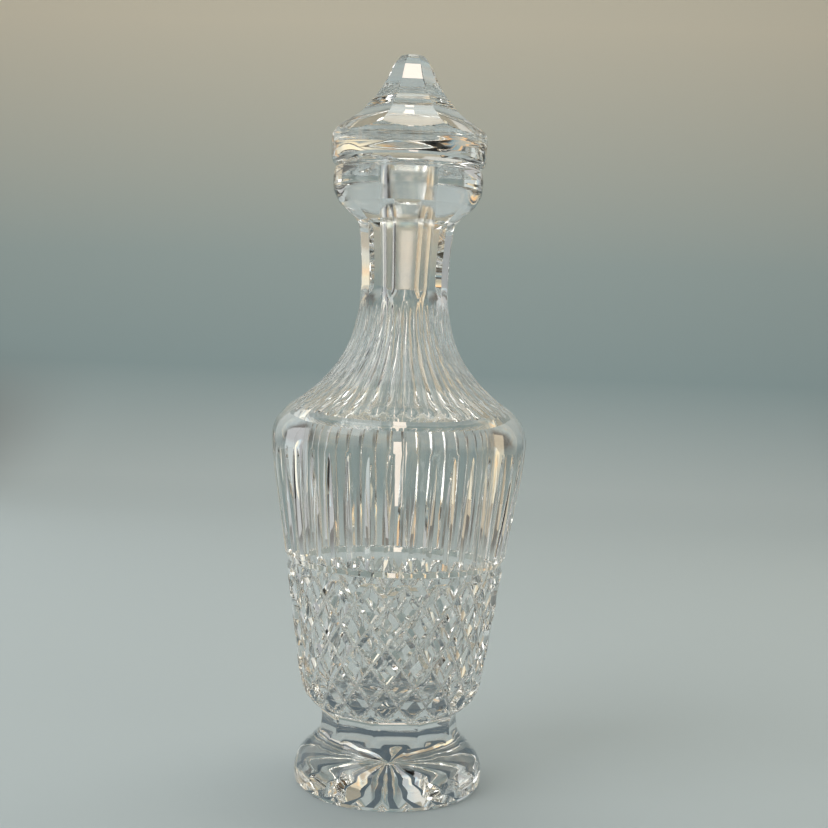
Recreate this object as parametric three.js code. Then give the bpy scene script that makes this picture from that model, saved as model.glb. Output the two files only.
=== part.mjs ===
// A footed decanter in cut lead crystal with its ground-in stopper, in millimetres, +Z up.
// The origin is the centre of the plane on which the foot rests, and the pieces turn about +Z.
// Both pieces are bodies of revolution whose radius is lowered, angle by angle, where a wheel cut them.
import * as THREE from "three";

// ---- Driving dimensions: vessel heights, from the table up ----
const FOOT_HEIGHT = 30; // resting plane to the waist of the stem
const BOWL_HEIGHT = 20; // waist of the stem to the foot of the wall
const WALL_HEIGHT = 106.4; // foot of the wall to the widest part
const SHOULDER_HEIGHT = 61.6; // widest part to the foot of the neck
const NECK_HEIGHT = 34; // foot of the neck to the underside of the collar
const COLLAR_HEIGHT = 24.9; // underside of the collar to the lip

// ---- Vessel radii ----
const FOOT_RADIUS = 42.6;
const STEM_RADIUS = 30.7;
const WALL_FOOT_RADIUS = 41.5;
const SHOULDER_RADIUS = 57.2;
const NECK_FOOT_RADIUS = 19.8;
const NECK_TOP_RADIUS = 21.3;
const LIP_RADIUS = 32.9;

// ---- Inside of the vessel ----
const WALL_THICKNESS = 6; // at the foot of the wall
const SHOULDER_THICKNESS = 13.5; // at the widest part, where the blown glass stays thickest
const FLOOR_THICKNESS = 11; // glass between the waist of the stem and the floor of the chamber
const BORE_RADIUS = 6.7; // narrow end of the ground socket, just below the end of the peg
const BORE_TAPER = 0.038; // growth of the radius for each millimetre of height
const LIP_CHAMFER = 1.6; // bevel at the mouth of the socket
const LIP_ROUND = 1.5;

// ---- Stopper ----
const PEG_LENGTH = 55; // lip to the end of the peg
const PEG_CLEARANCE = 0.3; // gap between the peg and the socket
const SEAT_CLEARANCE = 0.3; // gap between the lip and the head
const HEAD_RADIUS = 34.8;
const HEAD_BAND_HEIGHT = 6.3; // upright edge of the head, at the middle of a panel
const HEAD_BAND_LIFT = 6.6; // seat of the head to the foot of its upright edge
const SPIRE_HEIGHT = 36.3; // top of the upright edge to the tip
const PEG_BEVEL = 0.8;
const TIP_RADIUS = 4.9;
const STOPPER_TURN = THREE.MathUtils.degToRad(5); // a stopper sits as it was dropped in
const HEAD_PANELS = 8;

// ---- Cutting ----
const DIAMOND_COUNT = 20; // diamonds around the body
const DIAMOND_ROWS = 7; // half-diamond rows, one above the other
const DIAMOND_HALF_HEIGHT = 9.15; // measured along the wall
const DIAMOND_LIFT = 6.7; // waist of the stem to the lowest points of the diamonds
const DIAMOND_DEPTH = 1.9;
const RING_WIDTH = 6.6; // horizontal groove above the diamonds
const RING_DEPTH = 1.3;
const FLUTE_COUNT = 2 * DIAMOND_COUNT; // upright mitres above the ring, two for each diamond
const FLUTE_DEPTH = 1.7;
const FLUTE_STRAIGHT = 0.35; // share of a flute's length that keeps its full width
const PLAIN_BAND = 3.4; // points of the flutes to the widest part
const SHOULDER_FLUTE_DEPTH = 1.5;
const SHOULDER_FLUTE_START = 11.5; // plain band between the widest part and the shoulder flutes
const NECK_PANELS = 10;
const NECK_PHASE = 0.125; // turn of the neck's panels, as a share of their pitch
const STEM_PANELS = 10;
const STEM_PHASE = 0.25;
const STEM_WHEEL_RADIUS = 10; // wheel that hollowed the panels of the stem
const STAR_RAYS = 20; // mitres under the foot
const STAR_DEPTH = 2.2;
const REST_WIDTH = 4.5; // plain ring on which the foot rests

// ---- Fineness of the surfaces ----
const BODY_COLUMNS = 4 * DIAMOND_COUNT;
const ROUND_COLUMNS = 40;

const TURN = 2 * Math.PI;
const FULL_MITRE = 0.25; // half width of a full mitre, as a share of the pitch

// ---- Heights that follow from the sizes ----
const BOWL_Z = FOOT_HEIGHT;
const WALL_Z = BOWL_Z + BOWL_HEIGHT;
const WIDEST_Z = WALL_Z + WALL_HEIGHT;
const NECK_Z = WIDEST_Z + SHOULDER_HEIGHT;
const COLLAR_Z = NECK_Z + NECK_HEIGHT;
const LIP_Z = COLLAR_Z + COLLAR_HEIGHT;
const PEG_END_Z = LIP_Z - PEG_LENGTH;
const FLOOR_Z = BOWL_Z + FLOOR_THICKNESS;

// ---- Outer outline: shares of the height and of the change of radius in each stretch ----
const FOOT_SHAPE = [
  [0, 0.13], [0.07, 0.03], [0.23, 0], [0.41, 0.13], [0.55, 0.4], [0.68, 0.72], [0.82, 0.96],
];
const BOWL_SHAPE = [[0, 0], [0.14, 0.06], [0.28, 0.25], [0.43, 0.55], [0.57, 0.75], [0.7, 0.87]];
const WALL_SHAPE = [[0, 0], [0.16, 0.166], [0.46, 0.465], [0.77, 0.8], [0.92, 0.955]];
const SHOULDER_SHAPE = [
  [0, 0], [0.04, 0.005], [0.13, 0.055], [0.22, 0.18], [0.3, 0.366],
  [0.43, 0.6], [0.61, 0.82], [0.78, 0.933],
];
const NECK_SHAPE = [[0, 0], [0.32, -0.17], [0.7, 0.3], [0.9, 0.75]];
const COLLAR_SHAPE = [
  [0, 0], [0.07, 0.09], [0.14, 0.25], [0.25, 0.5], [0.35, 0.76],
  [0.46, 0.9], [0.61, 1.03], [0.8, 1.05], [1, 1],
];

// Stations [height, radius] of one stretch of an outline.
function stretch(shape, z, radius, height, endRadius) {
  return shape.map(([up, growth]) => [z + up * height, radius + growth * (endRadius - radius)]);
}

// Radius at a height: a monotone cubic through the stations, which are in order of height.
function radiusThrough(stations) {
  const last = stations.length - 1;
  const slopes = [];
  for (let i = 0; i < last; i += 1) {
    const [z0, r0] = stations[i];
    const [z1, r1] = stations[i + 1];
    slopes.push((r1 - r0) / (z1 - z0));
  }
  const tangents = stations.map((station, i) => {
    const before = slopes[Math.max(i - 1, 0)];
    const after = slopes[Math.min(i, last - 1)];
    return before * after <= 0 ? 0 : (2 * before * after) / (before + after);
  });
  return (z) => {
    let i = 0;
    while (i < last - 1 && z > stations[i + 1][0]) i += 1;
    const [z0, r0] = stations[i];
    const [z1, r1] = stations[i + 1];
    const span = z1 - z0;
    const t = THREE.MathUtils.clamp((z - z0) / span, 0, 1);
    const rest = 1 - t;
    const ends = r0 * (1 + 2 * t) * rest * rest + r1 * (3 - 2 * t) * t * t;
    return ends + span * t * rest * (tangents[i] * rest - tangents[i + 1] * t);
  };
}

const outerRadius = radiusThrough([
  ...stretch(FOOT_SHAPE, 0, FOOT_RADIUS, FOOT_HEIGHT, STEM_RADIUS),
  ...stretch(BOWL_SHAPE, BOWL_Z, STEM_RADIUS, BOWL_HEIGHT, WALL_FOOT_RADIUS),
  ...stretch(WALL_SHAPE, WALL_Z, WALL_FOOT_RADIUS, WALL_HEIGHT, SHOULDER_RADIUS),
  ...stretch(SHOULDER_SHAPE, WIDEST_Z, SHOULDER_RADIUS, SHOULDER_HEIGHT, NECK_FOOT_RADIUS),
  ...stretch(NECK_SHAPE, NECK_Z, NECK_FOOT_RADIUS, NECK_HEIGHT, NECK_TOP_RADIUS),
  ...stretch(COLLAR_SHAPE, COLLAR_Z, NECK_TOP_RADIUS, COLLAR_HEIGHT, LIP_RADIUS),
]);

const socketRadius = (z) => BORE_RADIUS + BORE_TAPER * Math.max(z - PEG_END_Z, 0);

// ---- Rings of points and the solid that they enclose ----

// A column is a compass bearing in radians from -Y toward +X.
const evenBearings = (count) => Array.from({ length: count }, (unused, i) => (i / count) * TURN);

// Bearings of `count` equal cuts, each as [edge, bottom, edge], with the middle of the land between two
// cuts when `lands` is true. `half` is the half width of a cut as a share of the pitch.
function cutBearings(count, phase, half, lands) {
  const offsets = lands ? [-half, 0, half, 0.5] : [-half, 0, half];
  const bearings = [];
  for (let cut = 0; cut < count; cut += 1) {
    for (const offset of offsets) bearings.push(((cut + phase + offset) / count) * TURN);
  }
  return bearings;
}

// A ring holds one point per bearing; `pointAt` gives [radius, height] for a bearing and its index.
function ring(bearings, pointAt) {
  return bearings.map((bearing, i) => {
    const [radius, z] = pointAt(bearing, i);
    return { bearing, point: new THREE.Vector3(radius * Math.sin(bearing), -radius * Math.cos(bearing), z) };
  });
}

const roundRing = (count, radius, z) => ring(evenBearings(count), () => [radius, z]);

// Triangles between two rings of the same number of points. `leansRight` says, for the cell after
// each point, that its diagonal rises with the bearing.
function stripBetweenEqual(lower, upper, leansRight, add) {
  lower.forEach((corner, i) => {
    const next = (i + 1) % lower.length;
    const [a, b, c, d] = [corner.point, lower[next].point, upper[next].point, upper[i].point];
    const rising = leansRight ? leansRight(i) : a.distanceTo(c) <= b.distanceTo(d);
    if (rising) {
      add(a, b, c);
      add(a, c, d);
    } else {
      add(a, b, d);
      add(b, c, d);
    }
  });
}

// Triangles between rings of different numbers of points, walked by bearing.
function stripBetweenUnequal(lower, upper, add) {
  const at = (points, i) => points[i % points.length].bearing + TURN * Math.floor(i / points.length);
  let i = 0;
  let j = 0;
  while (i < lower.length || j < upper.length) {
    const a = lower[i % lower.length].point;
    const d = upper[j % upper.length].point;
    const stepLower = j >= upper.length || (i < lower.length && at(lower, i + 1) <= at(upper, j + 1));
    if (stepLower) {
      i += 1;
      add(a, lower[i % lower.length].point, d);
    } else {
      j += 1;
      add(a, upper[j % upper.length].point, d);
    }
  }
}

// One closed surface through the rings, from a point on the axis to another, outside first.
// A ring may carry `leansRight` for the strip that follows it.
function closedSurface(startZ, rings, endZ) {
  const positions = [];
  const add = (...corners) => corners.forEach((corner) => positions.push(corner.x, corner.y, corner.z));
  const start = new THREE.Vector3(0, 0, startZ);
  const end = new THREE.Vector3(0, 0, endZ);
  const first = rings[0];
  first.forEach(({ point }, i) => add(start, first[(i + 1) % first.length].point, point));
  for (let k = 0; k + 1 < rings.length; k += 1) {
    const lower = rings[k];
    const upper = rings[k + 1];
    if (lower.length === upper.length) stripBetweenEqual(lower, upper, lower.leansRight, add);
    else stripBetweenUnequal(lower, upper, add);
  }
  const last = rings[rings.length - 1];
  last.forEach(({ point }, i) => add(point, last[(i + 1) % last.length].point, end));
  const geometry = new THREE.BufferGeometry();
  geometry.setAttribute("position", new THREE.Float32BufferAttribute(positions, 3));
  geometry.computeVertexNormals();
  return geometry;
}

// ---- Cuts ----

// Radius of a flat panel at a bearing, over the radius of its corners.
function panelFactor(bearing, count, phase) {
  const pitch = TURN / count;
  const offset = THREE.MathUtils.euclideanModulo(bearing - phase * pitch + pitch / 2, pitch) - pitch / 2;
  return Math.cos(pitch / 2) / Math.cos(offset);
}

// Smooth rise from 0 at `from` to 1 at `to`, in either direction.
const rise = (value, from, to) => THREE.MathUtils.smoothstep((value - from) / (to - from), 0, 1);

// Heights at equal steps along the outer wall, going up from a height.
function heightsUpWall(startZ, step, count) {
  const slice = 0.05;
  const heights = [startZ];
  let z = startZ;
  for (let k = 0; k < count; k += 1) {
    let walked = 0;
    while (walked < step) {
      walked += Math.hypot(slice, outerRadius(z + slice) - outerRadius(z));
      z += slice;
    }
    heights.push(z);
  }
  return heights;
}

// ---- Vessel, ring by ring from the middle of the foot's underside ----

// Underside: a plain resting ring round a star of mitre rays, which are widest and deepest near their ends.
function undersideRings() {
  const restInner = outerRadius(0) - REST_WIDTH;
  const stations = [[0.12, 0.3, 0.35], [0.78, 0.32, 1], [1, 0.1, 0]];
  return stations.map(([share, half, depth]) => {
    const bearings = cutBearings(STAR_RAYS, 0, half, true);
    return ring(bearings, (bearing, i) => [share * restInner, i % 4 === 1 ? depth * STAR_DEPTH : 0]);
  });
}

// Radius where the wheel that hollowed the panels of the stem limits it, at a height and bearing.
function stemPanel(z, bearing) {
  const pitch = TURN / STEM_PANELS;
  const middle = STEM_RADIUS * Math.cos(pitch / 2);
  const hollow = middle + (z - BOWL_Z) ** 2 / (2 * STEM_WHEEL_RADIUS);
  return (hollow / Math.cos(pitch / 2)) * panelFactor(bearing, STEM_PANELS, STEM_PHASE);
}

// Smooth foot, and the panelled stem up to the lowest points of the diamonds.
function stemRings() {
  const foot = FOOT_SHAPE.map(([up]) => up * FOOT_HEIGHT);
  const bowl = [0, 0.47, 0.77].map((share) => BOWL_Z + share * DIAMOND_LIFT);
  return [...foot, ...bowl].map((z) =>
    ring(evenBearings(BODY_COLUMNS), (bearing) => [Math.min(outerRadius(z), stemPanel(z, bearing)), z]),
  );
}

// Diamonds: two families of mitres that cross, leaving flat-topped diamonds. Half steps of the
// lattice put every mitre and every edge of a flat on a diagonal of the grid.
function diamondRings(heights) {
  const fromMitre = (u) => Math.abs(THREE.MathUtils.euclideanModulo(u + 1, 2) - 1);
  const rings = [];
  for (let k = 0; k <= 2 * DIAMOND_ROWS; k += 1) {
    const row = Math.floor(k / 2);
    const z = k % 2 === 0 ? heights[row] : (heights[row] + heights[row + 1]) / 2;
    const t = DIAMOND_ROWS - k / 2; // rows below the top of the diamonds
    const depth = k === 0 ? 0 : DIAMOND_DEPTH;
    const oneRing = ring(evenBearings(BODY_COLUMNS), (bearing, i) => {
      const s = i / 2;
      const nearest = Math.min(fromMitre(s + t + 1), fromMitre(s - t + 1));
      return [outerRadius(z) - depth * Math.max(0, 1 - 2 * nearest), z];
    });
    const middleRow = Math.floor(t - 0.25);
    oneRing.leansRight = (i) => (Math.floor(i / 2) + middleRow) % 2 === 0;
    rings.push(oneRing);
  }
  return rings;
}

// Horizontal groove between the diamonds and the upright flutes.
function grooveRing(z) {
  return roundRing(BODY_COLUMNS, outerRadius(z) - RING_DEPTH, z);
}

// Upright mitre flutes, even in width below and drawn to a point above.
function fluteRings(startZ, tipZ) {
  const straightZ = startZ + FLUTE_STRAIGHT * (tipZ - startZ);
  const rings = [fluteRing(startZ, FULL_MITRE)];
  [0, 0.5, 0.8, 0.95].forEach((share) => {
    rings.push(fluteRing(straightZ + share * (tipZ - straightZ), FULL_MITRE * Math.sqrt(1 - share * share)));
  });
  const tips = cutBearings(FLUTE_COUNT, 0, 0.04, false);
  rings.push(ring(tips, () => [outerRadius(tipZ), tipZ]));
  return rings;
}

function fluteRing(z, half) {
  const bearings = cutBearings(FLUTE_COUNT, 0, half, false);
  const depth = (FLUTE_DEPTH * half) / FULL_MITRE;
  return ring(bearings, (bearing, i) => [outerRadius(z) - (i % 3 === 1 ? depth : 0), z]);
}

// Shoulder flutes, round-ended at the plain band and running out on the neck.
function shoulderRings() {
  const startZ = WIDEST_Z + SHOULDER_FLUTE_START;
  const stations = [
    [0, 0.1], [0.03, 0.3], [0.09, 0.4], [0.18, 0.42], [0.32, 0.42], [0.55, 0.4], [0.8, 0.36], [1, 0.25],
  ];
  return stations.map(([share, half], k) => {
    const z = startZ + share * (NECK_Z - startZ);
    const ends = k === 0 || k === stations.length - 1 ? 0 : 1;
    const depth = SHOULDER_FLUTE_DEPTH * ends * (k === 1 ? 0.6 : 1) * (1 - 0.45 * share);
    const bearings = cutBearings(FLUTE_COUNT, 0, half, false);
    return ring(bearings, (bearing, i) => [outerRadius(z) - (i % 3 === 1 ? depth : 0), z]);
  });
}

// Neck: flat panels, each above four of the shoulder's flutes, that run out under the collar.
function neckRings() {
  const shares = [0.12, 0.45, 0.8, 1.05, 1.25];
  return shares.map((share) => {
    const z = NECK_Z + share * NECK_HEIGHT;
    const run = rise(share, 0, 0.12) * rise(share, 1.25, 1);
    return ring(evenBearings(BODY_COLUMNS), (bearing) => {
      const flat = panelFactor(bearing, NECK_PANELS, NECK_PHASE);
      return [outerRadius(z) * (1 - run * (1 - flat)), z];
    });
  });
}

// Collar, lip and ground socket, down to the end of the peg.
function mouthRings() {
  const collar = [0.5, 0.64, 0.82].map((share) => {
    const z = COLLAR_Z + share * COLLAR_HEIGHT;
    return roundRing(ROUND_COLUMNS, outerRadius(z), z);
  });
  const bevelZ = LIP_Z - LIP_CHAMFER;
  return [
    ...collar,
    roundRing(ROUND_COLUMNS, LIP_RADIUS, LIP_Z - LIP_ROUND),
    roundRing(ROUND_COLUMNS, LIP_RADIUS - LIP_ROUND, LIP_Z),
    roundRing(ROUND_COLUMNS, socketRadius(LIP_Z) + LIP_CHAMFER, LIP_Z),
    roundRing(ROUND_COLUMNS, socketRadius(bevelZ), bevelZ),
    roundRing(ROUND_COLUMNS, socketRadius(PEG_END_Z), PEG_END_Z),
  ];
}

// Chamber: the bore opens below the peg and follows the shoulder and the wall down to a rounded floor.
function chamberRings() {
  const wallTop = SHOULDER_RADIUS - SHOULDER_THICKNESS;
  const wallFoot = WALL_FOOT_RADIUS - WALL_THICKNESS;
  const shoulder = [
    [0.88, 0.018], [0.73, 0.08], [0.54, 0.2], [0.39, 0.33], [0.3, 0.44], [0.238, 0.56], [0.185, 0.715],
    [0.139, 0.86], [0.108, 0.935], [0.078, 0.985],
  ];
  const rings = stretch(shoulder, WIDEST_Z, BORE_RADIUS, PEG_END_Z - WIDEST_Z, wallTop).map(([z, radius]) =>
    roundRing(ROUND_COLUMNS, radius, z),
  );
  const cornerZ = WALL_Z + 0.06 * WALL_HEIGHT;
  const cornerRadius = 0.5 * wallFoot;
  rings.push(roundRing(ROUND_COLUMNS, wallTop, WIDEST_Z));
  [0, 25, 50, 75, 90].forEach((angle) => {
    const turned = THREE.MathUtils.degToRad(angle);
    const radius = wallFoot - cornerRadius * (1 - Math.cos(turned));
    rings.push(roundRing(ROUND_COLUMNS, radius, FLOOR_Z + (cornerZ - FLOOR_Z) * (1 - Math.sin(turned))));
  });
  return rings;
}

function makeVessel() {
  const heights = heightsUpWall(BOWL_Z + DIAMOND_LIFT, DIAMOND_HALF_HEIGHT, DIAMOND_ROWS);
  const grooveZ = heights[DIAMOND_ROWS];
  const fluteZ = grooveZ + RING_WIDTH;
  const bandMiddleZ = WIDEST_Z + 0.5 * SHOULDER_FLUTE_START;
  const rings = [
    ...undersideRings(),
    ...stemRings(),
    ...diamondRings(heights),
    grooveRing((grooveZ + fluteZ) / 2),
    ...fluteRings(fluteZ, WIDEST_Z - PLAIN_BAND),
    roundRing(BODY_COLUMNS, SHOULDER_RADIUS, WIDEST_Z),
    roundRing(BODY_COLUMNS, outerRadius(bandMiddleZ), bandMiddleZ),
    ...shoulderRings(),
    ...neckRings(),
    ...mouthRings(),
    ...chamberRings(),
  ];
  return new THREE.Mesh(closedSurface(0, rings, FLOOR_Z), crystal("vessel crystal", 0xdfe6e4));
}

// ---- Stopper ----

// The peg is ground to the socket's taper; the head is a round disc cut to a panelled spire.
function makeStopper() {
  const seatZ = LIP_Z + SEAT_CLEARANCE;
  const bandZ = seatZ + HEAD_BAND_LIFT;
  const bandTopZ = bandZ + HEAD_BAND_HEIGHT;
  const tipZ = bandTopZ + SPIRE_HEIGHT;
  const pegRadius = (z) => socketRadius(z) - PEG_CLEARANCE;
  const pegEndZ = PEG_END_Z + PEG_CLEARANCE;
  const rootZ = LIP_Z - LIP_CHAMFER;
  const rings = [
    roundRing(ROUND_COLUMNS, pegRadius(pegEndZ) - PEG_BEVEL, pegEndZ),
    roundRing(ROUND_COLUMNS, pegRadius(pegEndZ + PEG_BEVEL), pegEndZ + PEG_BEVEL),
    roundRing(ROUND_COLUMNS, pegRadius(rootZ), rootZ),
    roundRing(ROUND_COLUMNS, pegRadius(LIP_Z) + 0.3 * LIP_CHAMFER, LIP_Z),
    roundRing(ROUND_COLUMNS, pegRadius(LIP_Z) + 1.5 * LIP_CHAMFER, seatZ),
  ];
  const underside = [[0.05, 0.9], [0.25, 0.97], [0.6, 0.993], [1, 1]];
  stretch(underside, seatZ, 0, HEAD_BAND_LIFT, HEAD_RADIUS).forEach(([z, radius]) => {
    rings.push(roundRing(ROUND_COLUMNS, radius, z));
  });
  const spire = [
    [0, 1], [0.08, 0.88], [0.16, 0.745], [0.238, 0.625], [0.317, 0.52], [0.397, 0.453], [0.471, 0.37],
    [0.548, 0.308], [0.697, 0.21], [0.855, 0.125], [0.972, 0.03], [1, 0],
  ];
  stretch(spire, bandTopZ, TIP_RADIUS, SPIRE_HEIGHT, HEAD_RADIUS).forEach(([z, middle]) => {
    const corner = middle / Math.cos(Math.PI / HEAD_PANELS);
    rings.push(
      ring(evenBearings(ROUND_COLUMNS), (bearing) => {
        return [Math.min(corner * panelFactor(bearing, HEAD_PANELS, 0), HEAD_RADIUS), z];
      }),
    );
  });
  const mesh = new THREE.Mesh(closedSurface(pegEndZ, rings, tipZ), crystal("stopper crystal", 0xe6e4da));
  mesh.rotation.z = STOPPER_TURN;
  return mesh;
}

// Lead crystal: clear, smooth and nearly colourless.
function crystal(name, color) {
  return new THREE.MeshStandardMaterial({
    name,
    color,
    roughness: 0.03,
    metalness: 0,
    transparent: true,
    opacity: 0.35,
  });
}

const decanter = new THREE.Group();
const vessel = makeVessel();
vessel.name = "vessel";
const stopper = makeStopper();
stopper.name = "stopper";
decanter.add(vessel, stopper);

export default decanter;
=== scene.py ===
import math

import bmesh
import bpy
import numpy as np
from mathutils import Matrix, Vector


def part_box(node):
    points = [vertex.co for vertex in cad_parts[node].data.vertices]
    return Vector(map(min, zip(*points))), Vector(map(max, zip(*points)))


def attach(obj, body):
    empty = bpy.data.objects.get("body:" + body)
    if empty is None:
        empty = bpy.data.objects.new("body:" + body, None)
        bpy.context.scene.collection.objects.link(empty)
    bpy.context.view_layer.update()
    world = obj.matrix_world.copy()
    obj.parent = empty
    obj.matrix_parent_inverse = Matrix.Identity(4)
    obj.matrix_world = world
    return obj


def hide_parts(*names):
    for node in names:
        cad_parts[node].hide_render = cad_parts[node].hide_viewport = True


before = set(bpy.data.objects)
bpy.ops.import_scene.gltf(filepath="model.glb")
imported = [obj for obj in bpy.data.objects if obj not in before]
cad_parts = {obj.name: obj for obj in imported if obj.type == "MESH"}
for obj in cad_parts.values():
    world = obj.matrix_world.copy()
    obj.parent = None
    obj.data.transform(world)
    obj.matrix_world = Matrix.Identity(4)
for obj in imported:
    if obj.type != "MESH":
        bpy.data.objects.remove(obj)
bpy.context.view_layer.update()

# ---- Sizes, in millimetres as the CAD model states them; build_surface turns them into metres ----
MM = 0.001
VESSEL_LOW, VESSEL_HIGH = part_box("vessel")
STOPPER_LOW, STOPPER_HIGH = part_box("stopper")
LIP_Z = VESSEL_HIGH[2] / MM
PEG_END_Z = STOPPER_LOW[2] / MM
TIP_Z = STOPPER_HIGH[2] / MM
SHOULDER_RADIUS = VESSEL_HIGH[0] / MM

FOOT_HEIGHT, BOWL_HEIGHT, WALL_HEIGHT = 30.0, 20.0, 106.4
SHOULDER_HEIGHT, NECK_HEIGHT = 61.6, 34.0
WALL_Z = FOOT_HEIGHT + BOWL_HEIGHT
WIDEST_Z = WALL_Z + WALL_HEIGHT
NECK_Z = WIDEST_Z + SHOULDER_HEIGHT
COLLAR_Z = NECK_Z + NECK_HEIGHT
COLLAR_HEIGHT = LIP_Z - COLLAR_Z
FLOOR_THICKNESS = 11.0  # glass between the waist of the stem and the floor of the chamber
FLOOR_Z = FOOT_HEIGHT + FLOOR_THICKNESS

FOOT_RADIUS, STEM_RADIUS, WALL_FOOT_RADIUS = 42.6, 30.7, 41.5
NECK_FOOT_RADIUS, NECK_TOP_RADIUS, LIP_RADIUS = 19.8, 21.3, 32.9
WALL_THICKNESS, SHOULDER_THICKNESS = 6.0, 13.5  # at the foot of the wall, and at its widest part
BORE_RADIUS, BORE_TAPER = 6.7, 0.038  # narrow end of the socket, and its growth for each mm of height
LIP_CHAMFER, LIP_ROUND = 1.6, 1.5  # mouth of the socket, and outer edge of the lip
PEG_LENGTH, PEG_BEVEL = 55.0, 0.8
SOCKET_END_Z = LIP_Z - PEG_LENGTH
GAP = 0.3  # between the peg and the socket, and between the lip and the head
SEAT_Z = LIP_Z + GAP
SEAT_INNER_RADIUS = 20.0  # a ring of points on the flat lip
HEAD_RADIUS, TIP_RADIUS = 34.8, 4.9
HEAD_BAND_LIFT, HEAD_BAND_HEIGHT = 6.6, 6.3
BAND_Z = SEAT_Z + HEAD_BAND_LIFT
BAND_TOP_Z = BAND_Z + HEAD_BAND_HEIGHT

DIAMONDS, DIAMOND_ROWS, DIAMOND_HALF_HEIGHT, DIAMOND_DEPTH = 20, 7, 9.15, 1.9
DIAMOND_LIFT = 6.7  # waist of the stem to the lowest points of the diamonds
RING_WIDTH, RING_DEPTH = 6.6, 1.3  # horizontal groove above the diamonds
FLUTES, FLUTE_DEPTH, PLAIN_BAND = 40, 1.7, 3.4
FULL_MITRE = 0.25  # half width of a full mitre, as a share of the pitch
FLUTE_STRAIGHT = 0.35  # share of a flute's length that keeps its full width
SHOULDER_FLUTE_DEPTH, SHOULDER_FLUTE_START = 1.5, 11.5
SHOULDER_FLUTE_HALF = 0.44  # half width at the plain band, as a share of the pitch
NARROWEST_SHOULDER_FLUTE = 0.03
NECK_PANELS, NECK_PHASE = 10, 0.125  # the phase turns the panels, as a share of their pitch
STEM_PANELS, STEM_PHASE, STEM_WHEEL = 10, 0.25, 10.0  # radius of the wheel that hollowed the panels
STAR_RAYS, STAR_DEPTH, REST_WIDTH = 20, 2.2, 4.5
HEAD_PANELS, STOPPER_TURN = 8, 5.0  # the turn in degrees: a stopper sits as it was dropped in

STEPS = 10  # points along half a diamond
COLUMNS = 2 * STEPS * DIAMONDS  # points round every ring of the vessel
HEAD_COLUMNS = 20 * HEAD_PANELS


# ---- Outline ----

def stretch(shape, z, radius, height, end_radius):
    """Stations (height, radius) of a shape given in shares of its rise and of its change in radius."""
    return [(z + rise * height, radius + growth * (end_radius - radius)) for rise, growth in shape]


FOOT_SHAPE = [(0, 0.13), (0.07, 0.03), (0.23, 0), (0.41, 0.13), (0.55, 0.4), (0.68, 0.72), (0.82, 0.96)]
BOWL_SHAPE = [(0, 0), (0.14, 0.06), (0.28, 0.25), (0.43, 0.55), (0.57, 0.75), (0.7, 0.87)]
WALL_SHAPE = [(0, 0), (0.16, 0.166), (0.46, 0.465), (0.77, 0.8), (0.92, 0.955)]
SHOULDER_SHAPE = [(0, 0), (0.04, 0.005), (0.13, 0.055), (0.22, 0.18), (0.3, 0.366),
                  (0.43, 0.6), (0.61, 0.82), (0.78, 0.933)]
NECK_SHAPE = [(0, 0), (0.32, -0.17), (0.7, 0.3), (0.9, 0.75)]
COLLAR_SHAPE = [(0, 0), (0.07, 0.09), (0.14, 0.25), (0.25, 0.5), (0.35, 0.76),
                (0.46, 0.9), (0.61, 1.03), (0.8, 1.05), (1, 1)]

OUTLINE = np.array(
    stretch(FOOT_SHAPE, 0, FOOT_RADIUS, FOOT_HEIGHT, STEM_RADIUS)
    + stretch(BOWL_SHAPE, FOOT_HEIGHT, STEM_RADIUS, BOWL_HEIGHT, WALL_FOOT_RADIUS)
    + stretch(WALL_SHAPE, WALL_Z, WALL_FOOT_RADIUS, WALL_HEIGHT, SHOULDER_RADIUS)
    + stretch(SHOULDER_SHAPE, WIDEST_Z, SHOULDER_RADIUS, SHOULDER_HEIGHT, NECK_FOOT_RADIUS)
    + stretch(NECK_SHAPE, NECK_Z, NECK_FOOT_RADIUS, NECK_HEIGHT, NECK_TOP_RADIUS)
    + stretch(COLLAR_SHAPE, COLLAR_Z, NECK_TOP_RADIUS, COLLAR_HEIGHT, LIP_RADIUS)
)


def cubic_through(stations, z):
    """Monotone cubic through (height, radius) stations, at the heights z."""
    zs, rs = stations[:, 0], stations[:, 1]
    slopes = np.diff(rs) / np.diff(zs)
    before = np.concatenate([slopes[:1], slopes])
    after = np.concatenate([slopes, slopes[-1:]])
    product = before * after
    total = np.where(np.abs(before + after) < 1e-9, 1, before + after)
    tangents = np.where(product > 0, 2 * product / total, 0)
    i = np.clip(np.searchsorted(zs, z, side="right") - 1, 0, len(zs) - 2)
    span = zs[i + 1] - zs[i]
    t = np.clip((z - zs[i]) / span, 0, 1)
    rest = 1 - t
    ends = rs[i] * (1 + 2 * t) * rest**2 + rs[i + 1] * (3 - 2 * t) * t**2
    return ends + span * t * rest * (tangents[i] * rest - tangents[i + 1] * t)


def outer(z):
    return cubic_through(OUTLINE, np.asarray(z, float))


def socket(z):
    return BORE_RADIUS + BORE_TAPER * np.maximum(np.asarray(z, float) - SOCKET_END_Z, 0)


def peg(z):
    return socket(z) - GAP


def smooth(value, start, end):
    t = np.clip((value - start) / (end - start), 0, 1)
    return t * t * (3 - 2 * t)


# ---- Rings: arrays of (bearing, radius, height), the bearing in turns from -Y toward +X ----

def ring(turns, radius, z):
    turns = np.asarray(turns, float)
    bearing = turns * 2 * math.pi
    radius = np.broadcast_to(radius, turns.shape)
    z = np.broadcast_to(z, turns.shape)
    return np.stack([radius * np.sin(bearing), -radius * np.cos(bearing), z], axis=1)


EVEN = np.arange(COLUMNS) / COLUMNS


def round_ring(radius, z, columns=COLUMNS):
    return ring(np.arange(columns) / columns, radius, z)


def cut_turns(count, phase, offsets):
    """Turns of `count` equal cuts, each with the same offsets in shares of the pitch."""
    return ((np.arange(count)[:, None] + phase + np.asarray(offsets)[None, :]) / count).ravel()


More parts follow.
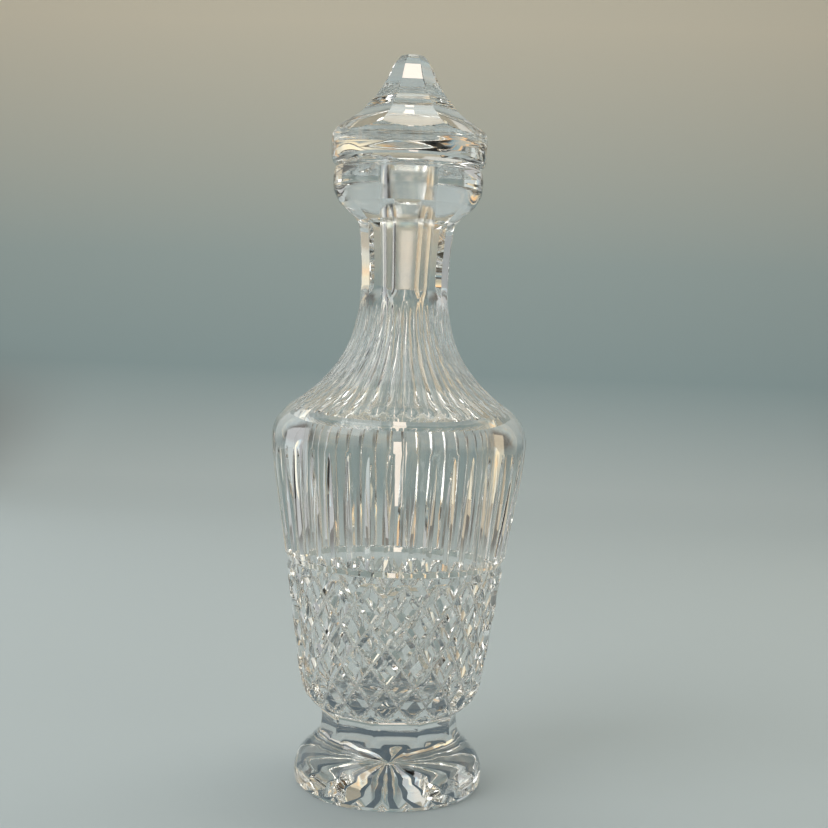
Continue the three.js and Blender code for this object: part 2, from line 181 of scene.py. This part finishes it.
def panel_factor(turns, count, phase):
    """Share of the radius that is left where `count` flat panels are ground on a round blank."""
    offset = (turns * count - phase + 0.5) % 1 - 0.5
    return math.cos(math.pi / count) / np.cos(offset * 2 * math.pi / count)


def build_surface(name, rings, caps, tags, lattice=None):
    """Closed mesh through the rings, with a point on the axis at each end.

    `tags` gives each strip's material slot. `lattice` gives, for a strip of diamonds, which of its
    diagonals fall and which of its points lie in the bottom of a mitre.
    """
    columns = len(rings[0])
    low_cap, high_cap = (np.array([[0, 0, z]]) for z in caps)
    points = np.concatenate([low_cap] + rings + [high_cap]) * MM
    faces = []
    materials = []
    here = np.arange(columns)
    after = (here + 1) % columns
    for i in range(columns):
        faces.append((0, 1 + after[i], 1 + here[i]))
        materials.append(tags[0])
    for k in range(len(rings) - 1):
        low = 1 + k * columns
        high = low + columns
        falling, mitre_bottom = lattice.get(k, (None, None)) if lattice else (None, None)
        for i in range(columns):
            a, b, c, d = low + here[i], low + after[i], high + after[i], high + here[i]
            if falling is None:
                faces.append((a, b, c, d))
                materials.append(tags[k + 1])
                continue
            pair = [(a, b, d), (b, c, d)] if falling[i] else [(a, b, c), (a, c, d)]
            for face in pair:
                faces.append(face)
                on_bottom = all(mitre_bottom[(v - low) // columns][(v - low) % columns] for v in face)
                materials.append(BOTTOM if on_bottom else tags[k + 1])
    last = 1 + (len(rings) - 1) * columns
    end = len(points) - 1
    for i in range(columns):
        faces.append((last + here[i], last + after[i], end))
        materials.append(tags[-1])
    mesh = bpy.data.meshes.new(name)
    mesh.from_pydata(points.tolist(), [], [tuple(int(v) for v in face) for face in faces])
    mesh.polygons.foreach_set("material_index", materials)
    crease_sharp_edges(mesh)
    piece = bpy.data.objects.new(name, mesh)
    bpy.context.scene.collection.objects.link(piece)
    return piece


def crease_sharp_edges(mesh, limit=math.radians(15)):
    """Smooth shading, broken where a cut meets the blank at more than `limit`."""
    edit = bmesh.new()
    edit.from_mesh(mesh)
    for face in edit.faces:
        face.smooth = True
    for edge in edit.edges:
        edge.smooth = edge.calc_face_angle(0) < limit
    edit.to_mesh(mesh)
    edit.free()


# ---- Vessel ----

def underside():
    """Plain resting ring round a star of mitre rays, widest and deepest near their ends."""
    rest_inner = float(outer(0)) - REST_WIDTH
    per_ray = COLUMNS // STAR_RAYS
    across = np.array([0, 0.04, 0.28, 0.52, 0.76, 1])  # middle of a ray to its edge
    rings = []
    # Share of the inner radius of the resting ring, half width of a ray, share of its full depth
    stations = [(0.05, 0.3, 0.2), (0.12, 0.3, 0.4), (0.3, 0.31, 0.62),
                (0.5, 0.32, 0.8), (0.68, 0.32, 0.95), (0.8, 0.32, 1),
                (0.88, 0.27, 0.85), (0.94, 0.2, 0.5), (1, 0.08, 0)]
    for share, half, depth in stations:
        flank = half * across
        land = half + (0.5 - half) * np.arange(1, per_ray // 2 - 4) / (per_ray // 2 - 5)
        right = np.concatenate([flank, land])
        offsets = np.concatenate([-right[:0:-1], right[:-1]])
        section = np.clip(1 - np.abs(offsets) / half, 0, 0.96)
        turns = cut_turns(STAR_RAYS, 0, offsets)
        rings.append(ring(turns, share * rest_inner, np.tile(section, STAR_RAYS) * depth * STAR_DEPTH))
    rings.append(ring(EVEN, float(outer(0)) - 0.5, 0.0))
    return rings


def stem():
    """Smooth foot, and the panelled stem up to the lowest points of the diamonds."""
    middle = STEM_RADIUS * math.cos(math.pi / STEM_PANELS)
    top = FOOT_HEIGHT + DIAMOND_LIFT
    heights = np.concatenate([[0.12, 0.5, 1.1, 1.9, 2.9], np.linspace(4.2, top - 0.5, 30)])
    rings = []
    for z in heights:
        hollow = (middle + (z - FOOT_HEIGHT) ** 2 / (2 * STEM_WHEEL)) / math.cos(math.pi / STEM_PANELS)
        panel = hollow * panel_factor(EVEN, STEM_PANELS, STEM_PHASE)
        rings.append(ring(EVEN, np.minimum(outer(z), panel), z))
    return rings


def heights_up_wall(start, step, count):
    """Heights that lie `step` apart, measured along the wall."""
    heights = [start]
    z = start
    stride = 0.02
    for _ in range(count):
        walked = 0.0
        while walked < step:
            walked += math.hypot(stride, float(outer(z + stride) - outer(z)))
            z += stride
        heights.append(z)
    return np.array(heights)


def from_mitre(u):
    """Distance to the nearest mitre of a family that runs every second half diamond."""
    return np.abs((u + 1) % 2 - 1)


DIAMOND_HEIGHTS = heights_up_wall(FOOT_HEIGHT + DIAMOND_LIFT, DIAMOND_HALF_HEIGHT, DIAMOND_ROWS)
DIAMOND_TOP_Z = DIAMOND_HEIGHTS[-1]
FLUTE_Z = DIAMOND_TOP_Z + RING_WIDTH
FLUTE_TIP_Z = WIDEST_Z - PLAIN_BAND
ROUNDED_BOTTOM = 1 / STEPS  # half width of a mitre's rounded bottom, in half diamonds
MITRE_HALF = 0.5  # half width of a mitre, in half diamonds


def diamonds():
    """Two families of mitres that cross, and the diagonals that follow them."""
    rings = []
    flips = []
    bottoms = []
    count = STEPS * DIAMOND_ROWS
    s = np.arange(COLUMNS) / STEPS
    for k in range(count + 1):
        row, part = divmod(k, STEPS)
        high = DIAMOND_HEIGHTS[min(row + 1, DIAMOND_ROWS)]
        z = DIAMOND_HEIGHTS[row] + part / STEPS * (high - DIAMOND_HEIGHTS[row])
        t = DIAMOND_ROWS - k / STEPS
        nearest = np.minimum(from_mitre(s + t + 1), from_mitre(s - t + 1))
        section = np.clip((MITRE_HALF - nearest) / (MITRE_HALF - ROUNDED_BOTTOM), 0, 1)
        fade = smooth(k / STEPS, 0, 0.6)
        rings.append(ring(EVEN, outer(z) - DIAMOND_DEPTH * section * fade, z))
        middle = t - 0.5 / STEPS
        falling = (np.floor((np.arange(COLUMNS) + 0.5) / STEPS) + math.floor(middle)) % 2 != 0
        flips.append(falling)
        bottoms.append(nearest < 1.01 * ROUNDED_BOTTOM)
    return rings, [(flips[k], bottoms[k : k + 2]) for k in range(count)]


def groove():
    """Horizontal groove that parts the diamonds from the upright mitres."""
    rings = []
    for share in (0.12, 0.3, 0.46, 0.54, 0.7, 0.88):
        z = DIAMOND_TOP_Z + share * RING_WIDTH
        depth = RING_DEPTH * min(1, (1 - abs(2 * share - 1)) / 0.92)
        rings.append(ring(EVEN, outer(z) - depth, z))
    return rings


def flute_ring(z, half, depth):
    """Ring through the upright mitres, `half` their half width as a share of the pitch."""
    width = max(half, 0.012)
    flank = width * np.array([0.1, 0.4, 0.7, 1])
    land = [width + (1 - 2 * width) / 3, width + (2 - 4 * width) / 3]
    offsets = np.concatenate([-flank[::-1], flank, land])
    section = np.clip(1 - np.abs(offsets) / width, 0, 0.9)
    turns = cut_turns(FLUTES, 0, offsets)
    return ring(turns, outer(z) - np.tile(section, FLUTES) * depth, z)


def flutes():
    """Upright mitres, even in width below and drawn to a point above."""
    length = FLUTE_TIP_Z - FLUTE_Z
    rings = []
    for share in np.concatenate([np.linspace(0, 0.3, 4), np.linspace(0.38, 1, 18)]):
        along = max(share - FLUTE_STRAIGHT, 0) / (1 - FLUTE_STRAIGHT)
        width = FULL_MITRE * math.sqrt(1 - along**2)
        rings.append(flute_ring(FLUTE_Z + share * length, width, FLUTE_DEPTH * width / FULL_MITRE))
    return rings


def band():
    """Plain band round the widest part."""
    end = WIDEST_Z + SHOULDER_FLUTE_START
    return [flute_ring(z, FULL_MITRE, 0) for z in np.linspace(FLUTE_TIP_Z, end, 9)[1:-1]]


def shoulder():
    """Hollow flutes, round-ended at the plain band and running out on the neck."""
    start = WIDEST_Z + SHOULDER_FLUTE_START
    rings = []
    across = np.array([-1, -0.72, -0.45, -0.15, 0.15, 0.45, 0.72, 1])
    for share in np.concatenate([np.linspace(0, 0.16, 14), np.linspace(0.19, 1, 22)]):
        z = start + share * (NECK_Z - start)
        round_end = math.sqrt(1 - (1 - min(share / 0.12, 1)) ** 2)
        width = max(SHOULDER_FLUTE_HALF * round_end * (1 - 0.2 * share), NARROWEST_SHOULDER_FLUTE)
        run = smooth(share, 0, 0.1) * smooth(share, 1, 0.8)
        depth = SHOULDER_FLUTE_DEPTH * run * (1 - 0.45 * share)
        land = [width + (1 - 2 * width) / 3, width + (2 - 4 * width) / 3]
        section = np.concatenate([1 - across**2, [0, 0]])
        turns = cut_turns(FLUTES, 0, np.concatenate([across * width, land]))
        rings.append(ring(turns, outer(z) - np.tile(section, FLUTES) * depth, z))
    return rings


def neck():
    """Panels that fade in above the shoulder and out under the collar."""
    rings = []
    for share in np.linspace(0.04, 1.35, 26):
        z = NECK_Z + share * NECK_HEIGHT
        run = smooth(share, 0, 0.15) * smooth(share, 1.3, 1.0)
        flat = panel_factor(EVEN, NECK_PANELS, NECK_PHASE)
        rings.append(ring(EVEN, outer(z) * (1 - run * (1 - flat)), z))
    return rings


def collar():
    """Round collar, lip, and the chamfered mouth of the socket."""
    rings = []
    for share in np.linspace(0.52, 0.93, 9):
        z = COLLAR_Z + share * COLLAR_HEIGHT
        rings.append(round_ring(outer(z), z))
    for angle in np.radians([0, 30, 60, 90]):
        radius = LIP_RADIUS - LIP_ROUND * (1 - math.cos(angle))
        rings.append(round_ring(radius, LIP_Z - LIP_ROUND * (1 - math.sin(angle))))
    rings.append(round_ring(SEAT_INNER_RADIUS, LIP_Z))
    mouth = float(socket(LIP_Z)) + LIP_CHAMFER
    rings.append(round_ring(mouth + 0.3, LIP_Z))
    rings.append(round_ring(mouth, LIP_Z - 0.2))
    return rings


def bore():
    return [round_ring(socket(z), z) for z in np.linspace(LIP_Z - LIP_CHAMFER, SOCKET_END_Z, 7)]


def chamber():
    """The bore opens below the peg and follows the shoulder and the wall down to a rounded floor."""
    wall_top = SHOULDER_RADIUS - SHOULDER_THICKNESS
    wall_foot = WALL_FOOT_RADIUS - WALL_THICKNESS
    corner_z = WALL_Z + 0.06 * WALL_HEIGHT
    shape = [(0.078, 0.985), (0.108, 0.935), (0.139, 0.86), (0.185, 0.715), (0.238, 0.56),
             (0.3, 0.44), (0.39, 0.33), (0.54, 0.2), (0.73, 0.08), (0.88, 0.018)]
    stations = [(corner_z, wall_foot), (WIDEST_Z, wall_top)]
    stations += stretch(shape, WIDEST_Z, BORE_RADIUS, SOCKET_END_Z - WIDEST_Z, wall_top)
    stations.append((SOCKET_END_Z, BORE_RADIUS))
    curve = np.array(stations)
    under_shoulder = np.linspace(SOCKET_END_Z - 1, WIDEST_Z + 2, 26)
    down_wall = np.linspace(WIDEST_Z, corner_z, 8)
    heights = np.concatenate([under_shoulder, down_wall])
    rings = [round_ring(cubic_through(curve, z), z) for z in heights]
    corner = 0.5 * wall_foot
    for angle in np.radians(np.linspace(9, 90, 10)):
        radius = wall_foot - corner * (1 - math.cos(angle))
        rings.append(round_ring(radius, FLOOR_Z + (corner_z - FLOOR_Z) * (1 - math.sin(angle))))
    rings.append(round_ring(0.5 * (wall_foot - corner), FLOOR_Z))
    return rings


# Material slots of both pieces: cut outside, blown inside, ground socket and peg, bottoms of the mitres
OUTSIDE, INSIDE, GROUND, BOTTOM = 0, 1, 2, 3


def make_vessel():
    rings = underside() + stem()
    diamond_rings, strips = diamonds()
    lattice = {len(rings) + k: strip for k, strip in enumerate(strips)}
    rings += diamond_rings + groove() + flutes() + band() + shoulder() + neck() + collar()
    outside = len(rings)
    rings += bore()
    ground = len(rings)
    rings += chamber()
    tags = [OUTSIDE] * outside + [GROUND] * (ground - outside) + [INSIDE] * (len(rings) - ground + 1)
    star_middle = 0.3
    return build_surface("cut_vessel", rings, (star_middle, FLOOR_Z), tags, lattice)


# ---- Stopper ----

UNDER_HEAD_SHAPE = [(0.0, 0.84), (0.05, 0.9), (0.14, 0.945), (0.27, 0.972),
                    (0.45, 0.988), (0.7, 0.996), (1, 1)]
SPIRE_SHAPE = [(0, 1), (0.08, 0.88), (0.16, 0.745), (0.238, 0.625), (0.317, 0.52), (0.397, 0.453),
               (0.471, 0.37), (0.548, 0.308), (0.697, 0.21), (0.855, 0.125), (0.972, 0.03), (1, 0)]


def make_stopper():
    """Tapered peg with a bevelled end, and a head of eight panels drawn up to a point."""
    columns = HEAD_COLUMNS
    rings = []
    for angle in np.radians([0, 30, 60, 90]):
        radius = peg(PEG_END_Z) - PEG_BEVEL * (1 - math.sin(angle))
        rings.append(round_ring(radius, PEG_END_Z + PEG_BEVEL * (1 - math.cos(angle)), columns))
    for z in np.linspace(PEG_END_Z + 1.5, LIP_Z - LIP_CHAMFER, 10):
        rings.append(round_ring(peg(z), z, columns))
    ground = len(rings)
    rings.append(round_ring(peg(LIP_Z) + 0.5, LIP_Z - 0.3, columns))
    rings.append(round_ring(peg(LIP_Z) + 1.6, SEAT_Z, columns))
    rings.append(round_ring(19.0, SEAT_Z, columns))
    for share, growth in UNDER_HEAD_SHAPE:
        rings.append(round_ring(HEAD_RADIUS * growth, SEAT_Z + share * (BAND_Z - SEAT_Z), columns))
    base = BAND_TOP_Z
    stations = np.array(stretch(SPIRE_SHAPE, base, TIP_RADIUS, TIP_Z - base, HEAD_RADIUS))
    turns = np.arange(columns) / columns
    band_heights = np.linspace(base - 4, base + 4, 22)
    spire_heights = np.linspace(base + 5, TIP_Z, 32)
    for z in np.concatenate([band_heights, spire_heights]):
        middle = cubic_through(stations, z) if z > base else HEAD_RADIUS
        panel = middle / math.cos(math.pi / HEAD_PANELS) * panel_factor(turns, HEAD_PANELS, 0)
        rings.append(ring(turns, np.minimum(panel, HEAD_RADIUS), z))
    rings.append(round_ring(2.0, TIP_Z, columns))
    tags = [GROUND] * ground + [OUTSIDE] * (len(rings) - ground + 1)
    piece = build_surface("cut_stopper", rings, (PEG_END_Z, TIP_Z), tags)
    piece.rotation_euler[2] = math.radians(STOPPER_TURN)
    return piece


# ---- Materials ----

GLASS_TINT = (0.985, 0.99, 0.985)
GLASS_IOR = 1.545


def crystal(name, roughness, grain, ripple, clear=1.0):
    """Lead crystal. `grain` is the size in metres of the unevenness of its surface, `ripple` its height,
    and `clear` the share of light that isn't scattered white."""
    material = bpy.data.materials.new(name)
    material.use_nodes = True
    tree = material.node_tree
    shader = tree.nodes["Principled BSDF"]
    shader.inputs["Base Color"].default_value = (*GLASS_TINT, 1)
    shader.inputs["IOR"].default_value = GLASS_IOR
    shader.inputs["Transmission Weight"].default_value = clear
    place = tree.nodes.new("ShaderNodeTexCoord")
    noise = tree.nodes.new("ShaderNodeTexNoise")
    noise.inputs["Scale"].default_value = 1 / grain
    noise.inputs["Detail"].default_value = 3
    tree.links.new(place.outputs["Object"], noise.inputs["Vector"])
    span = tree.nodes.new("ShaderNodeMapRange")
    span.inputs["To Min"].default_value = roughness[0]
    span.inputs["To Max"].default_value = roughness[1]
    tree.links.new(noise.outputs["Fac"], span.inputs["Value"])
    tree.links.new(span.outputs["Result"], shader.inputs["Roughness"])
    bump = tree.nodes.new("ShaderNodeBump")
    bump.inputs["Distance"].default_value = ripple
    bump.inputs["Strength"].default_value = 1.0
    tree.links.new(noise.outputs["Fac"], bump.inputs["Height"])
    tree.links.new(bump.outputs["Normal"], shader.inputs["Normal"])
    return material


def cove_paper():
    """Paper, pale blue-grey on the floor and cream higher up, with painted shade in dark brown at both
    sides of the floor, and a faint glow of painted light all over that lifts its shadows."""
    material = bpy.data.materials.new("cove_paper")
    material.use_nodes = True
    tree = material.node_tree
    shader = tree.nodes["Principled BSDF"]
    shader.inputs["Roughness"].default_value = 0.9
    place = tree.nodes.new("ShaderNodeTexCoord")
    split = tree.nodes.new("ShaderNodeSeparateXYZ")
    ramp = tree.nodes.new("ShaderNodeValToRGB")
    low, high = ramp.color_ramp.elements  # by height in metres
    low.position, low.color = 0.02, (0.47, 0.55, 0.6, 1)
    high.position, high.color = 0.75, (0.76, 0.7, 0.58, 1)
    ramp.color_ramp.elements.new(0.16).color = (0.25, 0.35, 0.39, 1)
    ramp.color_ramp.elements.new(0.34).color = (0.34, 0.43, 0.45, 1)
    tree.links.new(place.outputs["Object"], split.inputs["Vector"])
    tree.links.new(split.outputs["Z"], ramp.inputs["Fac"])

    def span(source, near, far):
        """Rises from 0 where the source is `near` to 1 where it is `far`."""
        node = tree.nodes.new("ShaderNodeMapRange")
        node.interpolation_type = "SMOOTHSTEP"
        node.inputs["From Min"].default_value = near
        node.inputs["From Max"].default_value = far
        tree.links.new(source, node.inputs["Value"])
        return node.outputs["Result"]

    # Painted shade: the floor is made dark brown at both sides, low down, for the glass to show as dark
    # accents
    aside = tree.nodes.new("ShaderNodeMath")
    aside.operation = "ABSOLUTE"
    tree.links.new(split.outputs["X"], aside.inputs[0])
    painted_shade_at_sides = tree.nodes.new("ShaderNodeMath")
    painted_shade_at_sides.operation = "MULTIPLY"
    tree.links.new(span(aside.outputs["Value"], 0.5, 0.8), painted_shade_at_sides.inputs[0])
    tree.links.new(span(split.outputs["Z"], 0.2, 0.02), painted_shade_at_sides.inputs[1])
    mix = tree.nodes.new("ShaderNodeMix")
    mix.data_type = "RGBA"
    mix.inputs["B"].default_value = (0.1, 0.075, 0.06, 1)
    tree.links.new(painted_shade_at_sides.outputs["Value"], mix.inputs["Factor"])
    tree.links.new(ramp.outputs["Color"], mix.inputs["A"])
    tree.links.new(mix.outputs["Result"], shader.inputs["Base Color"])
    # Painted light: a faint glow over the whole paper, which keeps the shade under the glass from going
    # black
    shader.inputs["Emission Color"].default_value = (0.8, 0.94, 1.0, 1)
    shader.inputs["Emission Strength"].default_value = 0.07
    return material


cut_crystal = crystal("cut_crystal", roughness=(0.0, 0.03), grain=0.02, ripple=0.00002)
blown_crystal = crystal("blown_crystal", roughness=(0.0, 0.03), grain=0.03, ripple=0.00012)
ground_crystal = crystal("ground_crystal", roughness=(0.1, 0.2), grain=0.0006, ripple=0.00001)
mitre_crystal = crystal("mitre_crystal", roughness=(0.2, 0.36), grain=0.0012, ripple=0.00001, clear=0.6)

vessel = make_vessel()
stopper = make_stopper()
for piece in (vessel, stopper):
    # In the order of OUTSIDE, INSIDE, GROUND and BOTTOM
    for material in (cut_crystal, blown_crystal, ground_crystal, mitre_crystal):
        piece.data.materials.append(material)
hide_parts("vessel")
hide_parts("stopper")
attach(vessel, "vessel")
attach(stopper, "stopper")


# ---- Stage: floor with a cove behind it, lights and camera ----

def make_cove():
    """Pale floor that sweeps up into a backdrop at the far side."""
    width, front, back, height, radius = 4.0, -3.0, 1.6, 2.4, 0.7
    profile = [(front, 0.0)]
    for angle in np.radians(np.linspace(0, 90, 13)):
        profile.append((back - radius + radius * math.sin(angle), radius * (1 - math.cos(angle))))
    profile.append((back, height))
    points = [(x, y, z) for x in (-width / 2, width / 2) for y, z in profile]
    count = len(profile)
    faces = [(k, k + count, k + count + 1, k + 1) for k in range(count - 1)]
    mesh = bpy.data.meshes.new("cove")
    mesh.from_pydata(points, [], faces)
    mesh.polygons.foreach_set("use_smooth", [True] * len(faces))
    cove = bpy.data.objects.new("cove", mesh)
    bpy.context.scene.collection.objects.link(cove)
    mesh.materials.append(cove_paper())


def softbox(name, place, target, size, power, colour):
    """Rectangular lamp that faces its target."""
    data = bpy.data.lights.new(name, "AREA")
    data.shape = "RECTANGLE"
    data.size, data.size_y = size
    data.energy = power
    data.color = colour
    lamp = bpy.data.objects.new(name, data)
    bpy.context.scene.collection.objects.link(lamp)
    lamp.location = place
    direction = np.array(target) - np.array(place)
    yaw = math.atan2(direction[1], direction[0])
    pitch = math.atan2(direction[2], math.hypot(direction[0], direction[1]))
    lamp.matrix_world = (
        Matrix.Translation(place)
        @ Matrix.Rotation(yaw - math.pi / 2, 4, "Z")
        @ Matrix.Rotation(math.pi / 2 + pitch, 4, "X")
    )


WORLD_SEED = 0.0
WORLD_STRENGTH = 0.8
BACKDROP_COLOUR = (0.4, 0.4, 0.37, 1)
ROOM_LIGHT = [(0.44, (0.01, 0.007, 0.006)), (0.465, (0.12, 0.085, 0.065)), (0.49, (0.4, 0.47, 0.49)),
              (0.56, (0.8, 0.73, 0.56)), (0.64, (1.5, 1.34, 1.0))]
ROOM_TINT = [(0.33, (0.4, 0.7, 1.0)), (0.42, (0.8, 0.96, 1.0)), (0.5, (1, 1, 1)),
             (0.58, (1.0, 0.92, 0.76)), (0.67, (1.0, 0.66, 0.42))]


def make_world():
    """A room of soft light and dark patches, tinted here and there, which only the glass shows."""
    world = bpy.data.worlds.new("studio")
    bpy.context.scene.world = world
    world.use_nodes = True
    tree = world.node_tree
    background = tree.nodes["Background"]
    place = tree.nodes.new("ShaderNodeTexCoord")

    def noise(scale, detail):
        node = tree.nodes.new("ShaderNodeTexNoise")
        node.noise_dimensions = "4D"
        node.inputs["W"].default_value = WORLD_SEED
        node.inputs["Scale"].default_value = scale
        node.inputs["Detail"].default_value = detail
        tree.links.new(place.outputs["Generated"], node.inputs["Vector"])
        return node.outputs["Fac"]

    def ramp(source, stops):
        node = tree.nodes.new("ShaderNodeValToRGB")
        elements = node.color_ramp.elements
        elements[0].position, elements[0].color = stops[0][0], (*stops[0][1], 1)
        elements[1].position, elements[1].color = stops[-1][0], (*stops[-1][1], 1)
        for position, colour in stops[1:-1]:
            elements.new(position).color = (*colour, 1)
        tree.links.new(source, node.inputs["Fac"])
        return node.outputs["Color"]

    light = ramp(noise(2.4, 2), ROOM_LIGHT)
    tint = ramp(noise(5.0, 1), ROOM_TINT)
    mix = tree.nodes.new("ShaderNodeMix")
    mix.data_type = "RGBA"
    mix.blend_type = "MULTIPLY"
    mix.inputs["Factor"].default_value = 1.0
    tree.links.new(light, mix.inputs["A"])
    tree.links.new(tint, mix.inputs["B"])
    seen = tree.nodes.new("ShaderNodeMix")  # seen straight, the room is a plain backdrop
    seen.data_type = "RGBA"
    path = tree.nodes.new("ShaderNodeLightPath")
    tree.links.new(path.outputs["Is Camera Ray"], seen.inputs["Factor"])
    tree.links.new(mix.outputs["Result"], seen.inputs["A"])
    seen.inputs["B"].default_value = BACKDROP_COLOUR
    tree.links.new(seen.outputs["Result"], background.inputs["Color"])
    background.inputs["Strength"].default_value = WORLD_STRENGTH


def make_camera():
    """The photograph's viewpoint: level with the shoulder's top, turned 3 degrees from the -Y flute."""
    distance, height, bearing = 0.563, 0.1974, math.radians(3.0)
    turn_right, tilt_down, roll = math.radians(0.64), math.radians(3.02), math.radians(2.09)
    data = bpy.data.cameras.new("camera")
    data.sensor_width = 36.0
    data.lens = 54.35
    camera = bpy.data.objects.new("camera", data)
    bpy.context.scene.collection.objects.link(camera)
    camera.matrix_world = (
        Matrix.Translation((distance * math.sin(bearing), -distance * math.cos(bearing), height))
        @ Matrix.Rotation(bearing - turn_right, 4, "Z")
        @ Matrix.Rotation(math.pi / 2 - tilt_down, 4, "X")
        @ Matrix.Rotation(roll, 4, "Z")
    )
    bpy.context.scene.camera = camera


make_cove()
make_world()
# Name, place, target, size in metres, power in watts, colour. The narrow one hides behind the neck.
softbox("key", (-1.1, -0.9, 1.5), (0, 0, 0.15), (1.2, 1.2), 11, (1.0, 0.98, 0.95))
softbox("left", (-0.75, 0.45, 0.4), (0, 0, 0.15), (0.7, 1.2), 1.1, (0.95, 0.98, 1.0))
softbox("right", (0.8, 0.35, 0.4), (0, 0, 0.15), (0.6, 1.1), 0.95, (1.0, 0.83, 0.57))
softbox("back", (-0.0236, 0.45, 0.2325), (0, 0, 0.2), (0.022, 0.235), 0.0135, (1.0, 0.8, 0.66))
softbox("top", (0.1, 0.4, 1.7), (0, 0, 0.1), (1.2, 0.8), 7, (1.0, 0.98, 0.92))
make_camera()
bpy.context.scene.view_settings.view_transform = "Standard"
# Light is reflected many times inside thick cut glass
bpy.context.scene.cycles.max_bounces = 24
bpy.context.scene.cycles.transmission_bounces = 24
bpy.context.scene.cycles.glossy_bounces = 16
